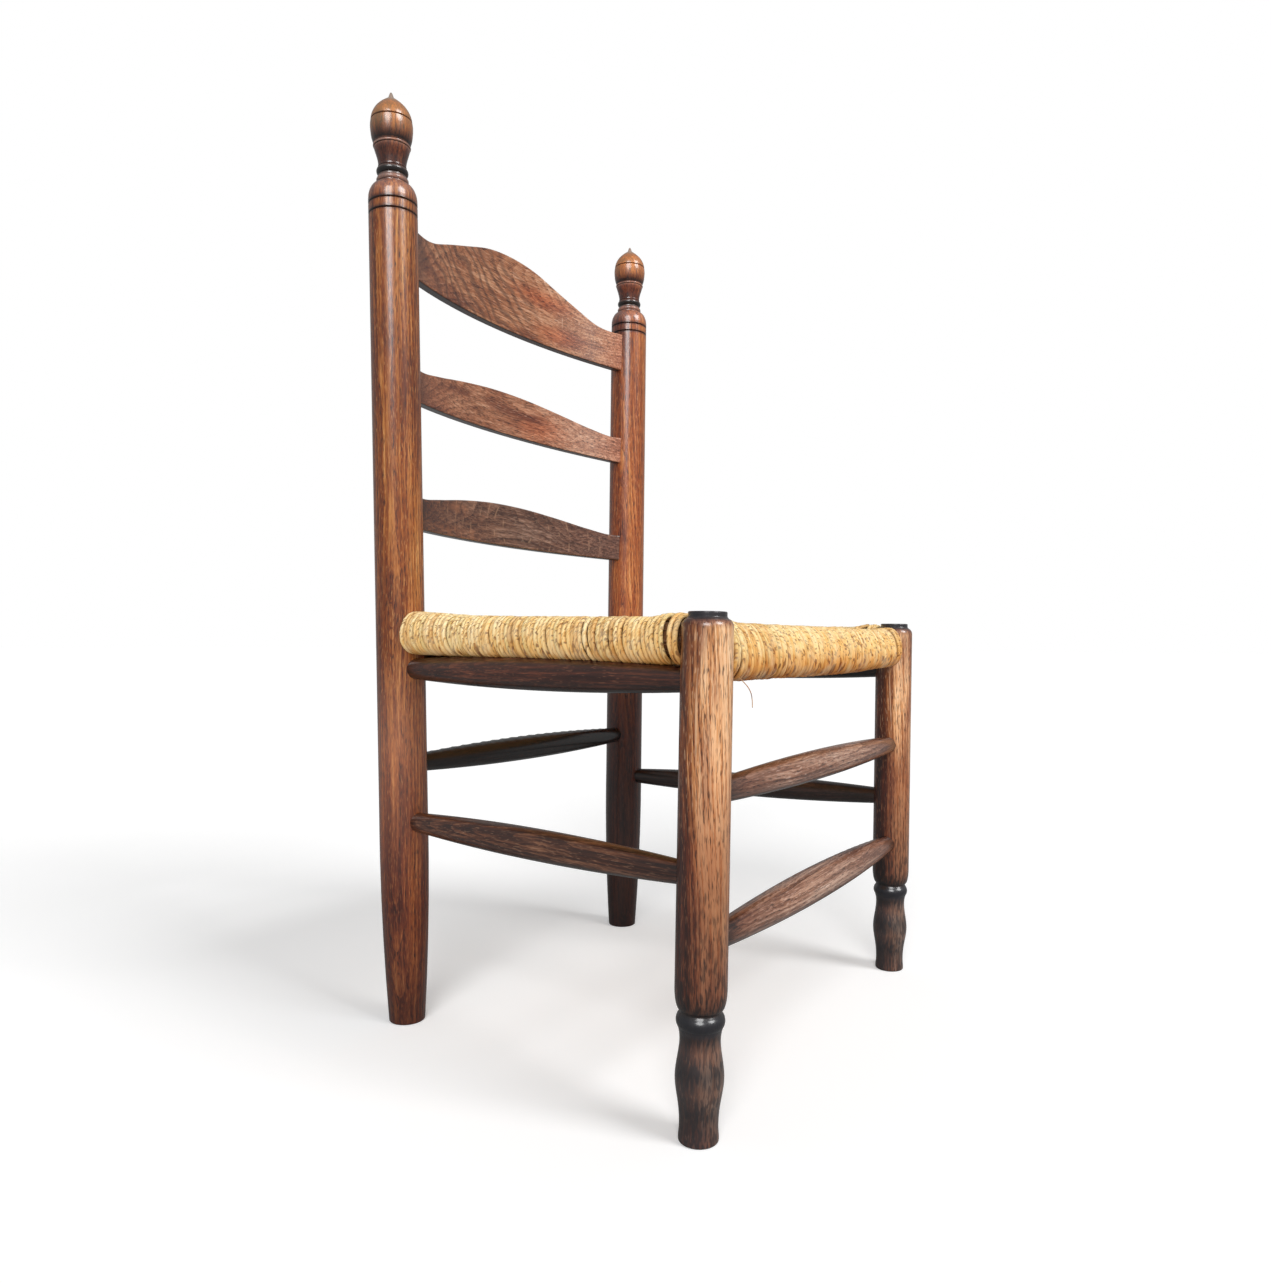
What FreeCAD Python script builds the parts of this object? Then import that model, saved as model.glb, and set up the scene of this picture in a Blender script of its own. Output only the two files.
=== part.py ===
"""A ladderback dining chair in turned oak with a woven rush seat.

Frame: +Z up, the floor at Z = 0, the sitter faces -Y and has +X at the left hand.
The origin lies on the floor, in the middle of the chair's overall width and depth.
All sizes are in millimetres.
"""

import FreeCAD, Part
import math
import os

# Overall frame
overall_height = 1000.0
frame_depth = 384.2
post_spacing_floor = 414.7
post_spacing_top = 461.8
post_rake = 6.8
leg_height = 435.5
leg_spacing_floor = 489.9
leg_spacing_top = 485.7
leg_rake = 5.8

# Turned rear posts
post_radius = 25.8
post_foot_radius = 18.8
post_taper_height = 220.0
post_taper_fullness = 0.81
finial_height = 99.4
shoulder_radius = 15.6
shoulder_drop = 17.2
groove_width = 2.2
groove_depth = 1.3
groove_drop = 5.0
groove_spacing = 11.0
ball_radius = 22.5
neck_radius = 14.5
ring_radius = 16.8
base_bead_radius = 17.0
fillet_radius = 15.0
collar_radius = 19.9
tip_radius = 1.2

# Turned front legs
leg_radius = 22.0
leg_foot_radius = 16.9
ankle_bulge_radius = 20.5
ankle_neck_radius = 17.0
ankle_bead_radius = 20.5
ankle_bead_height = 99.6
ankle_shoulder_rise = 26.0
button_radius = 16.4
button_height = 5.2
foot_edge_round = 1.6
saw_allowance = 3.0

# Spindle stretchers
stretcher_end_radius = 10.2
stretcher_middle_radius = 15.2
lower_front_middle_radius = 17.2
upper_side_end_radius = 11.0
upper_side_middle_radius = 16.2
upper_side_rise = 2.5
upper_side_press = 3.3
stretcher_tenon = 20.0
lower_side_height = 217.0
lower_front_height = 160.0
upper_front_height = 284.0
back_stretcher_height = 277.0

# Seat rails, hidden in the rush. Each drop is from the top of the front legs
side_rail_width = 24.0
side_rail_depth = 31.5
side_rail_drop = 21.5
side_rail_rise = 7.0
cross_rail_width = 19.0
cross_rail_depth = 41.0
front_rail_drop = 33.5
back_rail_drop = 28.5
rail_tenon_radius = 7.0
rail_shoulder_gap = 0.8

# Rush seat
strand = 5.5
seat_middle_drop = 11.5
seat_middle_thickness = 24.0
bridge_half_length = 32.0
roll_overlap = 0.5
stuffing_inset = 16.0
rush_clearance = 0.3

# Ladder slats: end depth, crest rise over the ends and arch under the middle. Each was shaped by eye,
# so a crest sits a little off the middle, and a left end a little below the right one
slat_thickness = 12.0
slat_bow = 38.0
slat_set_forward = 5.0
slat_tenon = 16.0
slat_flat_end = 24.0
slat_edge_round = 1.8
top_slat_drop = 91.35
top_slat_end_depth = 53.0
top_slat_crest = 50.2
top_slat_crest_shift = 4.5
top_slat_arch = 5.9
top_slat_tilt = 0.8
middle_slat_lift = 2.8
middle_slat_end_depth = 36.7
middle_slat_crest = 22.6
middle_slat_crest_shift = 0.0
middle_slat_arch = 5.9
middle_slat_tilt = 0.9
lower_slat_clearance = 96.6
lower_slat_end_depth = 36.2
lower_slat_crest = 19.2
lower_slat_crest_shift = -2.0
lower_slat_arch = 2.0
lower_slat_tilt = 1.7
# Share of the crest at each share of the way out to the flat end, from the end inward
ogee_rise = [(1.0, 0.01), (0.85, 0.13), (0.7, 0.35), (0.56, 0.54), (0.42, 0.72), (0.28, 0.88), (0.14, 0.97)]
plain_rise = [(1.0, 0.03), (0.85, 0.24), (0.7, 0.45), (0.56, 0.64), (0.42, 0.79), (0.28, 0.91), (0.14, 0.98)]

# Joinery
glue_gap = 0.1
mortise_extra_depth = 1.0

# Heights: the seat hangs from the top of the front legs, and the slats share the room above it
shoulder_height = overall_height - finial_height
side_rail_height = leg_height - side_rail_drop
front_rail_height = leg_height - front_rail_drop
back_rail_height = leg_height - back_rail_drop
seat_middle_top = leg_height - seat_middle_drop
seat_middle_bottom = seat_middle_top - seat_middle_thickness
top_slat_bottom = shoulder_height - top_slat_drop
lower_slat_bottom = leg_height + lower_slat_clearance
middle_slat_bottom = (lower_slat_bottom + top_slat_bottom) / 2 + middle_slat_lift

# The chair is centred on its overall depth, from the front legs to the bowed top slat
top_slat_rake = post_rake * (top_slat_bottom + top_slat_end_depth / 2) / overall_height
slat_overhang = slat_bow + slat_thickness - slat_set_forward + top_slat_rake
overall_depth = leg_radius + leg_rake + frame_depth + slat_overhang
leg_y = leg_radius + leg_rake - overall_depth / 2
post_y = leg_y + frame_depth

LEFT = 1
RIGHT = -1
SIDES = {"left": LEFT, "right": RIGHT}
UP = FreeCAD.Vector(0, 0, 1)


def vec(x, y, z):
    return FreeCAD.Vector(x, y, z)


def post_axis(side, z):
    """The point of a rear post's centreline at height z."""
    share = z / overall_height
    half = (post_spacing_floor + (post_spacing_top - post_spacing_floor) * share) / 2
    return vec(side * half, post_y + post_rake * share, z)


def leg_axis(side, z):
    """The point of a front leg's centreline at height z."""
    share = z / leg_height
    half = (leg_spacing_floor + (leg_spacing_top - leg_spacing_floor) * share) / 2
    return vec(side * half, leg_y - leg_rake * share, z)


# Outlines for turning are drawn as radius and height, and then spun


class Turning:
    """A lathe outline: it starts on the axis and runs up to the axis again."""

    def __init__(self, z):
        self.at = vec(0, 0, z)
        self.edges = []

    def line(self, r, z):
        end = vec(r, 0, z)
        self.edges.append(Part.LineSegment(self.at, end).toShape())
        self.at = end
        return self

    def arc(self, mid_r, mid_z, r, z):
        end = vec(r, 0, z)
        self.edges.append(Part.Arc(self.at, vec(mid_r, 0, mid_z), end).toShape())
        self.at = end
        return self

    def curve(self, points):
        curve = Part.BSplineCurve()
        curve.interpolate([self.at] + [vec(r, 0, z) for r, z in points])
        self.edges.append(curve.toShape())
        self.at = vec(points[-1][0], 0, points[-1][1])
        return self

    def quarter(self, r, z, upright_first):
        """A quarter oval that starts upright and ends level, or the other way round."""
        hold = 0.552
        start = self.at
        end = vec(r, 0, z)
        rise = vec(0, 0, (z - start.z) * hold)
        run = vec((r - start.x) * hold, 0, 0)
        first, last = (rise, run) if upright_first else (run, rise)
        curve = Part.BezierCurve()
        curve.setPoles([start, start + first, end - last, end])
        self.edges.append(curve.toShape())
        self.at = end
        return self

    def spin(self):
        bottom = self.edges[0].Vertexes[0].Point
        self.line(0, self.at.z)
        self.edges.append(Part.LineSegment(self.at, bottom).toShape())
        face = Part.Face(Part.Wire(Part.__sortEdges__(self.edges)))
        solid = face.revolve(vec(0, 0, 0), UP, 360)
        return solid if solid.Volume > 0 else solid.reversed()


def lean(solid, foot, top):
    """Sets a turning made about Z on the line from its foot to its top."""
    turned = solid.copy()
    turned.Placement = FreeCAD.Placement(foot, FreeCAD.Rotation(UP, top - foot))
    return turned


def level_foot(solid, foot):
    """Saws a leaning foot level with the floor, and eases the sawn edge."""
    size = 4 * post_radius
    below = Part.makeBox(2 * size, 2 * size, size)
    below.translate(vec(foot.x - size, foot.y - size, -size))
    sawn = solid.cut(below)
    edges = [edge for edge in sawn.Edges if abs(edge.BoundBox.ZMax) < foot_edge_round / 10]
    return sawn.makeFillet(foot_edge_round, edges)


def turned_groove(radius, z):
    """A V-shaped ring, cut into a turning of that radius at height z."""
    half = groove_width / 2
    corners = [
        vec(radius - groove_depth, 0, z),
        vec(radius + half, 0, z + half * (1 + half / groove_depth)),
        vec(radius + half, 0, z - half * (1 + half / groove_depth)),
    ]
    face = Part.Face(Part.makePolygon(corners + corners[:1]))
    return face.revolve(vec(0, 0, 0), UP, 360)


def rear_post_turning():
    """The tapered foot, the long round shaft, two grooves and the finial, in one piece."""
    top = shoulder_height

    def up(share):
        return top + finial_height * share

    taper_middle = post_taper_height / 2
    taper_middle_radius = post_foot_radius + (post_radius - post_foot_radius) * post_taper_fullness
    outline = Turning(-saw_allowance)
    outline.line(post_foot_radius, -saw_allowance)
    outline.arc(taper_middle_radius, taper_middle, post_radius, post_taper_height)
    outline.line(post_radius, top - shoulder_drop)
    # Rounded shoulder
    outline.quarter(shoulder_radius, top, upright_first=True)
    # Small bead on the shoulder, then a ring between two fillets, under the neck
    outline.line(shoulder_radius, up(0.014))
    outline.arc(base_bead_radius, up(0.042), shoulder_radius, up(0.07))
    outline.line(fillet_radius, up(0.074))
    outline.line(fillet_radius, up(0.09))
    outline.line(neck_radius, up(0.098))
    outline.arc(ring_radius, up(0.138), neck_radius, up(0.177))
    outline.line(fillet_radius, up(0.182))
    outline.line(fillet_radius, up(0.198))
    outline.line(neck_radius, up(0.205))
    # Flared neck and the collar that the ball stands on
    flare = collar_radius - neck_radius
    outline.curve(
        [
            (neck_radius + flare * 0.16, up(0.26)),
            (neck_radius + flare * 0.52, up(0.331)),
            (neck_radius + flare * 0.84, up(0.391)),
        ]
    )
    outline.line(neck_radius + flare * 0.72, up(0.397))
    outline.arc(collar_radius, up(0.412), neck_radius + flare * 0.76, up(0.427))
    # Ball, its groove and the pointed cap
    outline.curve(
        [
            (ball_radius * 0.92, up(0.476)),
            (ball_radius * 0.985, up(0.555)),
            (ball_radius, up(0.623)),
            (ball_radius * 0.983, up(0.67)),
        ]
    )
    outline.line(ball_radius * 0.92, up(0.68))
    outline.line(ball_radius * 0.97, up(0.69))
    outline.curve(
        [
            (ball_radius * 0.885, up(0.764)),
            (ball_radius * 0.7, up(0.83)),
            (ball_radius * 0.42, up(0.891)),
            (ball_radius * 0.2, up(0.929)),
        ]
    )
    outline.line(ball_radius * 0.14, up(0.941))
    outline.arc(ball_radius * 0.1, up(0.967), tip_radius, up(0.993))
    outline.line(tip_radius / 2, overall_height)
    shaft = outline.spin()
    first_groove = top - shoulder_drop - groove_drop
    for step in range(2):
        shaft = shaft.cut(turned_groove(post_radius, first_groove - step * groove_spacing))
    return shaft


def front_leg_turning():
    """The turned ankle with its bead, the round shaft and the button on its top."""
    bead = ankle_bead_height
    shoulder = leg_height - button_height
    outline = Turning(-saw_allowance)
    outline.line(leg_foot_radius, -saw_allowance)
    outline.line(leg_foot_radius, 3 * foot_edge_round)
    # Ankle: in above the foot, out at the bulge, and in again under the bead
    outline.curve(
        [
            (leg_foot_radius - 0.6, bead * 0.15),
            (ankle_neck_radius + 0.6, bead * 0.31),
            (ankle_bulge_radius, bead * 0.52),
            (ankle_neck_radius + 0.9, bead * 0.74),
            (ankle_neck_radius + 0.1, bead * 0.83),
            (ankle_bead_radius - 1.7, bead - 5.6),
        ]
    )
    outline.arc(ankle_bead_radius, bead, ankle_bead_radius - 1.9, bead + 5.2)
    outline.line(ankle_neck_radius + 0.7, bead + 7.0)
    outline.line(ankle_neck_radius + 0.8, bead + 8.6)
    outline.quarter(leg_radius, bead + ankle_shoulder_rise, upright_first=False)
    outline.line(leg_radius, shoulder - 9.0)
    # Rounded top edge, a shallow cove and the button
    outline.arc(leg_radius - 0.8, shoulder - 4.3, leg_radius - 2.7, shoulder - 1.6)
    outline.arc(button_radius + 1.0, shoulder - 0.4, button_radius, shoulder + 1.2)
    outline.line(button_radius, leg_height - 1.2)
    outline.arc(button_radius - 0.35, leg_height - 0.35, button_radius - 1.2, leg_height)
    return outline.spin()


def bar_placement(start, end):
    """Puts a bar made from the origin along Z on the line from start to end, with its X level."""
    along = (end - start).normalize()
    across = UP.cross(along).normalize()
    over = along.cross(across)
    turn = FreeCAD.Rotation(across, over, along, "ZXY")
    return FreeCAD.Placement(start, turn)


def round_bar(start, end, radius):
    return Part.makeCylinder(radius, (end - start).Length, start, end - start)


def oval_bar(start, end, width, depth):
    """A bar of oval section, as wide as width and as deep as depth."""
    wide = depth < width
    ellipse = Part.Ellipse(vec(0, 0, 0), max(width, depth) / 2, min(width, depth) / 2)
    edge = ellipse.toShape()
    if not wide:
        edge.rotate(vec(0, 0, 0), UP, 90)
    solid = Part.Face(Part.Wire(edge)).extrude(vec(0, 0, (end - start).Length))
    solid.Placement = bar_placement(start, end)
    return solid


def toward(start, end, distance):
    return start + (end - start).normalize() * distance


def spindle(start, end, start_radius, end_radius, r, middle_radius):
    """A cigar-shaped stretcher between two centrelines, with plain round tenons in the wood."""
    length = (end - start).Length
    first = start_radius - stretcher_tenon
    last = length - end_radius + stretcher_tenon
    outline = Turning(first)
    outline.line(r, first)
    outline.line(r, start_radius)
    outline.arc(middle_radius, length / 2, r, length - end_radius)
    outline.line(r, last)
    turned = outline.spin()
    turned.Placement = bar_placement(start, end)
    return turned


def drill(centre, direction, surface_radius, radius, tenon):
    """A blind round mortise that starts outside the wood and stops past the tenon."""
    depth = tenon + mortise_extra_depth
    unit = vec(direction.x, direction.y, direction.z).normalize()
    start = centre + unit * (surface_radius - depth)
    return Part.makeCylinder(radius + glue_gap, depth + surface_radius, start, unit)


# Seat rails: the round tenons of two rails that meet in one leg stay clear of each other


def rail_tenon(wood_radius):
    return wood_radius - rail_tenon_radius - mortise_extra_depth - 2 * glue_gap


def seat_rail(start, end, start_radius, end_radius, width, depth):
    body = oval_bar(
        toward(start, end, start_radius + rail_shoulder_gap),
        toward(end, start, end_radius + rail_shoulder_gap),
        width,
        depth,
    )
    tenon = round_bar(
        toward(start, end, start_radius - rail_tenon(start_radius)),
        toward(end, start, end_radius - rail_tenon(end_radius)),
        rail_tenon_radius,
    )
    return body.fuse(tenon)


def side_rail_line(side):
    """The centreline of a side rail, from the front leg to the rear post."""
    return (
        leg_axis(side, side_rail_height - side_rail_rise / 2),
        post_axis(side, side_rail_height + side_rail_rise / 2),
    )


def front_rail_line():
    return leg_axis(RIGHT, front_rail_height), leg_axis(LEFT, front_rail_height)


def back_rail_line():
    return post_axis(RIGHT, back_rail_height), post_axis(LEFT, back_rail_height)


def side_rail(side):
    front, back = side_rail_line(side)
    return seat_rail(front, back, leg_radius, post_radius, side_rail_width, side_rail_depth)


def cross_rail(line, wood_radius):
    start, end = line
    return seat_rail(start, end, wood_radius, wood_radius, cross_rail_width, cross_rail_depth)


# Stretcher lines


def upper_side_line(side):
    """An upper side stretcher presses up into the rush at its middle, where it is thickest."""
    rush_bottom = side_rail_height - side_rail_depth / 2 - strand
    middle = rush_bottom + upper_side_press - upper_side_middle_radius
    return (
        leg_axis(side, middle - upper_side_rise / 2),
        post_axis(side, middle + upper_side_rise / 2),
    )


def side_line(side, z):
    return leg_axis(side, z), post_axis(side, z)


def front_line(z):
    return leg_axis(RIGHT, z), leg_axis(LEFT, z)


def back_line(z):
    return post_axis(RIGHT, z), post_axis(LEFT, z)


# Ladder slats


def slat_half_span(z):
    """Half the clear width between the rear posts at height z, in the plane of the slats."""
    reach = math.sqrt(post_radius**2 - slat_set_forward**2)
    return post_axis(LEFT, z).x - reach


def rounded_section(low, high, front, back, corner, place):
    """A rounded upright rectangle. place turns a depth and a height into a point in space."""
    half = corner * math.sqrt(0.5)
    wires = []
    path = [
        ("line", (front + corner, low), (back - corner, low)),
        ("arc", (back - corner + half, low + corner - half), (back, low + corner)),
        ("line", (back, low + corner), (back, high - corner)),
        ("arc", (back - corner + half, high - corner + half), (back - corner, high)),
        ("line", (back - corner, high), (front + corner, high)),
        ("arc", (front + corner - half, high - corner + half), (front, high - corner)),
        ("line", (front, high - corner), (front, low + corner)),
        ("arc", (front + corner - half, low + corner - half), (front + corner, low)),
    ]
    at = place(*path[0][1])
    for kind, first, end in path:
        target = place(*end)
        if kind == "line":
            wires.append(Part.LineSegment(at, target).toShape())
        else:
            wires.append(Part.Arc(at, place(*first), target).toShape())
        at = target
    return Part.Wire(wires)


def slat(sizes, gap=0.0, extra=0.0):
    """One bent slat. The gap and extra depth turn it into the cutter for its own mortises."""
    bottom, end_depth, crest, crest_shift, under_arch, tilt, rise = sizes
    middle = bottom + end_depth / 2
    half_span = slat_half_span(middle)
    end_x = half_span + slat_tenon + extra
    flat_x = half_span - slat_flat_end
    front_y = post_axis(LEFT, middle).y - slat_set_forward
    bend_radius = (half_span**2 + slat_bow**2) / (2 * slat_bow)
    centre_y = front_y + slat_bow - bend_radius
    shape = [(end_x, 0.0), (half_span, 0.0)] + [(flat_x * out, share) for out, share in rise]
    shape += [(-x, share) for x, share in reversed(shape)]
    sections = []
    for even_x, share in shape:
        x = even_x + crest_shift * share
        turn = math.asin(x / bend_radius)
        inside = max(0.0, 1 - (x / half_span) ** 2)

        def place(depth, z, turn=turn):
            reach = bend_radius + depth
            return vec(reach * math.sin(turn), centre_y + reach * math.cos(turn), z)

        level = bottom - tilt * x / half_span
        low = level + under_arch * inside - gap
        high = level + end_depth + crest * share + gap
        sections.append(rounded_section(low, high, -gap, slat_thickness + gap, slat_edge_round, place))
    return Part.makeLoft(sections, True, False)


SLATS = {
    "top_slat": (
        top_slat_bottom,
        top_slat_end_depth,
        top_slat_crest,
        top_slat_crest_shift,
        top_slat_arch,
        top_slat_tilt,
        ogee_rise,
    ),
    "middle_slat": (
        middle_slat_bottom,
        middle_slat_end_depth,
        middle_slat_crest,
        middle_slat_crest_shift,
        middle_slat_arch,
        middle_slat_tilt,
        plain_rise,
    ),
    "lower_slat": (
        lower_slat_bottom,
        lower_slat_end_depth,
        lower_slat_crest,
        lower_slat_crest_shift,
        lower_slat_arch,
        lower_slat_tilt,
        plain_rise,
    ),
}


# Rush seat: a rounded roll over each rail, and four fields that meet at the mitre lines


def seat_plan():
    """Corners of the seat in plan, from the front right one, and the two ends of the bridge."""
    front_right, front_left = front_rail_line()
    back_right, back_left = back_rail_line()
    middle_y = (front_left.y + back_left.y) / 2
    corners = [front_right, front_left, back_left, back_right]
    bridge = {LEFT: vec(bridge_half_length, middle_y, 0), RIGHT: vec(-bridge_half_length, middle_y, 0)}
    return corners, bridge


def at_height(point, z):
    return vec(point.x, point.y, z)


def solid_of(rings):
    """A solid from flat faces, each one a ring of corners that runs anticlockwise from outside."""
    faces = [Part.Face(Part.makePolygon(ring + ring[:1])) for ring in rings]
    return Part.makeSolid(Part.makeShell(faces))


def field_rings(corners, bridge):
    """The four fields: front, left, back and right."""
    front_right, front_left, back_left, back_right = corners
    left, right = bridge
    return [
        [front_right, front_left, left, right],
        [front_left, back_left, left],
        [back_left, back_right, right, left],
        [back_right, front_right, right],
    ]


def seat_pad(skin):
    """The four fields together. Both the top and the underside slope to the middle."""
    corners, bridge = seat_plan()
    roll_top = cross_rail_depth / 2 + strand - roll_overlap - skin
    roll_bottom = side_rail_depth / 2 + strand - roll_overlap - skin
    side_front, side_back = side_rail_line(LEFT)
    tops = [front_rail_height + roll_top] * 2 + [back_rail_height + roll_top] * 2
    bottoms = [side_front.z - roll_bottom] * 2 + [side_back.z - roll_bottom] * 2
    upper = [at_height(corner, z) for corner, z in zip(corners, tops)]
    lower = [at_height(corner, z) for corner, z in zip(corners, bottoms)]
    middle_top = [at_height(bridge[side], seat_middle_top - skin) for side in (LEFT, RIGHT)]
    middle_bottom = [at_height(bridge[side], seat_middle_bottom + skin) for side in (LEFT, RIGHT)]
    rings = field_rings(upper, middle_top)
    rings += [ring[::-1] for ring in field_rings(lower, middle_bottom)]
    for i in range(4):
        j = (i + 1) % 4
        rings.append([lower[i], lower[j], upper[j], upper[i]])
    return solid_of(rings)


def seat_keel(line, skin):
    """The deeper underside of the front or back field, from under its rail to the bridge."""
    bridge = seat_plan()[1]
    start, end = line
    low = start.z - cross_rail_depth / 2 - strand + roll_overlap + skin
    middle = (seat_middle_top + seat_middle_bottom) / 2
    tips = [bridge[LEFT], bridge[RIGHT]]
    ring = [start, end] + tips if start.y < tips[0].y else [end, start] + tips[::-1]
    upper = [at_height(point, middle) for point in ring]
    heights = [low, low, seat_middle_bottom + roll_overlap + skin, seat_middle_bottom + roll_overlap + skin]
    lower = [at_height(point, z) for point, z in zip(ring, heights)]
    rings = [upper, lower[::-1]]
    for i in range(4):
        j = (i + 1) % 4
        rings.append([lower[i], lower[j], upper[j], upper[i]])
    return solid_of(rings)


def rush_stuffing():
    """Bundles of straw packed into the four pockets between the upper and lower layers."""
    core = seat_pad(strand)
    core = core.fuse([seat_keel(line, strand) for line in (front_rail_line(), back_rail_line())])
    corners, bridge = seat_plan()
    floor = [at_height(corner, 0) for corner in corners]
    middle = [at_height(bridge[side], 0) for side in (LEFT, RIGHT)]
    pads = []
    for ring in field_rings(floor, middle):
        pocket = Part.makePolygon(ring + ring[:1]).makeOffset2D(-stuffing_inset, 2)
        pads.append(Part.Face(pocket).extrude(vec(0, 0, overall_height)).common(core))
    return pads


def rush_seat(stuffing):
    """The woven skin: rolls and fields in one, hollow over the rails and round the stuffing."""
    gap = rush_clearance
    wrap = 2 * strand
    rolls = []
    cores = []
    for side in SIDES.values():
        front, back = side_rail_line(side)
        rolls.append(oval_bar(front, back, side_rail_width + wrap, side_rail_depth + wrap))
        cores.append(oval_bar(front, back, side_rail_width, side_rail_depth))
    for start, end in (front_rail_line(), back_rail_line()):
        rolls.append(oval_bar(start, end, cross_rail_width + wrap, cross_rail_depth + wrap))
        cores.append(oval_bar(start, end, cross_rail_width, cross_rail_depth))
    body = seat_pad(0)
    for addition in [seat_keel(line, 0) for line in (front_rail_line(), back_rail_line())] + rolls:
        body = body.fuse(addition)
    hollows = []
    for side in SIDES.values():
        for axis, radius in ((leg_axis, leg_radius), (post_axis, post_radius)):
            hollows.append(round_bar(axis(side, 0), axis(side, overall_height), radius + gap))
        front, back = upper_side_line(side)
        radii = (upper_side_end_radius + gap, upper_side_middle_radius + gap)
        hollows.append(spindle(front, back, leg_radius, post_radius, *radii))
    for cutter in hollows + cores + stuffing:
        body = body.cut(cutter)
    return body


# Assembly


def build_nodes():
    nodes = {}
    post_blank = rear_post_turning()
    leg_blank = front_leg_turning()
    r_leg = leg_radius
    r_post = post_radius
    plain = (stretcher_end_radius, stretcher_middle_radius)
    full = (stretcher_end_radius, lower_front_middle_radius)
    stout = (upper_side_end_radius, upper_side_middle_radius)

    stretchers = {}
    for name, side in SIDES.items():
        lower = side_line(side, lower_side_height)
        stretchers["upper_side_stretcher_" + name] = (upper_side_line(side), r_leg, r_post, stout)
        stretchers["lower_side_stretcher_" + name] = (lower, r_leg, r_post, plain)
    stretchers["upper_front_stretcher"] = (front_line(upper_front_height), r_leg, r_leg, plain)
    stretchers["lower_front_stretcher"] = (front_line(lower_front_height), r_leg, r_leg, full)
    stretchers["back_stretcher"] = (back_line(back_stretcher_height), r_post, r_post, plain)
    for name, (line, start_radius, end_radius, radii) in stretchers.items():
        nodes[name] = [spindle(*line, start_radius, end_radius, *radii)]

    nodes["seat_rail_left"] = [side_rail(LEFT)]
    nodes["seat_rail_right"] = [side_rail(RIGHT)]
    nodes["seat_rail_front"] = [cross_rail(front_rail_line(), leg_radius)]
    nodes["seat_rail_back"] = [cross_rail(back_rail_line(), post_radius)]

    for name, sizes in SLATS.items():
        nodes[name] = [slat(sizes)]
    slat_mortises = [slat(sizes, glue_gap, mortise_extra_depth) for sizes in SLATS.values()]

    for name, side in SIDES.items():
        leg_foot = leg_axis(side, 0)
        post_foot = post_axis(side, 0)
        leg = level_foot(lean(leg_blank, leg_foot, leg_axis(side, leg_height)), leg_foot)
        post = level_foot(lean(post_blank, post_foot, post_axis(side, overall_height)), post_foot)
        leg_holes = []
        post_holes = []
        for line, start_radius, end_radius, radii in stretchers.values():
            for here, there, radius in ((line[0], line[1], start_radius), (line[1], line[0], end_radius)):
                if here.x * side > 0:
                    hole = drill(here, there - here, radius, radii[0], stretcher_tenon)
                    (leg_holes if here.y < 0 else post_holes).append(hole)
        rails = [side_rail_line(side), front_rail_line(), back_rail_line()]
        for line in rails:
            for here, there in (line, line[::-1]):
                if here.x * side > 0:
                    radius = r_leg if here.y < 0 else r_post
                    hole = drill(here, there - here, radius, rail_tenon_radius, rail_tenon(radius))
                    (leg_holes if here.y < 0 else post_holes).append(hole)
        nodes["front_leg_" + name] = [leg.cut(leg_holes)]
        nodes["rear_post_" + name] = [post.cut(post_holes + slat_mortises)]

    stuffing = rush_stuffing()
    nodes["rush_stuffing"] = stuffing
    nodes["rush_seat"] = [rush_seat(stuffing)]
    return nodes


def write(nodes):
    os.makedirs("parts", exist_ok=True)
    for name, shapes in sorted(nodes.items()):
        solids = [s for shape in shapes for s in shape.Solids]
        shape = solids[0] if len(solids) == 1 else Part.makeCompound(solids)
        shape.exportStep("parts/" + name + ".step")
        box = shape.BoundBox
        print(
            f"{name}: {len(solids)} solid(s), {shape.Volume / 1000:.1f} cm3, valid {shape.isValid()}, "
            f"{box.XLength:.1f} x {box.YLength:.1f} x {box.ZLength:.1f} mm"
        )


write(build_nodes())
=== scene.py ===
# %% [markdown]
# # A ladderback chair, dressed in Blender
# The chair's wood was made as solids, so this lesson gives it its finish, and winds the seat.
# The frame comes first: every CAD node is a mesh in metres, and its object sits at the origin.

import math
import random

import bmesh
import bpy
from mathutils import Euler, Matrix, Vector


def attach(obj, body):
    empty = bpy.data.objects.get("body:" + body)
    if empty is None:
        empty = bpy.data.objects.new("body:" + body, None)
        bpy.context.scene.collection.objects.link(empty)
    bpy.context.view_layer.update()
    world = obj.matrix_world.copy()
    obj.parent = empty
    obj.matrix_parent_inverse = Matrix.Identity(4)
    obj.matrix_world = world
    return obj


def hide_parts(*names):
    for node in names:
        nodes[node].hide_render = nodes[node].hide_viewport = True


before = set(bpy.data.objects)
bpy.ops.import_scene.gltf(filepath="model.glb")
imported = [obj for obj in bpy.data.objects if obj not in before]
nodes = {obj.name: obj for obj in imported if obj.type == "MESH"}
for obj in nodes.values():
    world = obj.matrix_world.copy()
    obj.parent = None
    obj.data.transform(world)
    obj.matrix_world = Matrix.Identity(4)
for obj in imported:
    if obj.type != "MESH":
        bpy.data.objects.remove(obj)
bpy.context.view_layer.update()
random.seed(7)


# %% [markdown]
# ## Sizes
# Blender works in metres, and a chair maker in millimetres, so one small function changes the one to the
# other. The places of the legs and posts repeat the ones that the solids were made with, because the
# grain and the rush are set out from the middle of each leg.

# %% Sizes in millimetres
def mm(value):
    return value / 1000.0


LEG_X = mm(243.0)
LEG_Y = mm(-208.9)
POST_X = mm(216.9)
POST_Y = mm(183.4)
MIDDLE_Y = (LEG_Y + POST_Y) / 2
print("seat plan:", LEG_X * 2, "wide in front,", POST_X * 2, "wide at the back")


# %% [markdown]
# ## Colours and nodes
# A hex code is an sRGB colour, the kind that is read off a paint card. Shader nodes want linear light.
# A second helper adds one node, sets it and links it, which keeps each material short enough to read.
# It also fills a colour ramp, whose stops are the one thing that a plain setting can't reach.

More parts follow.
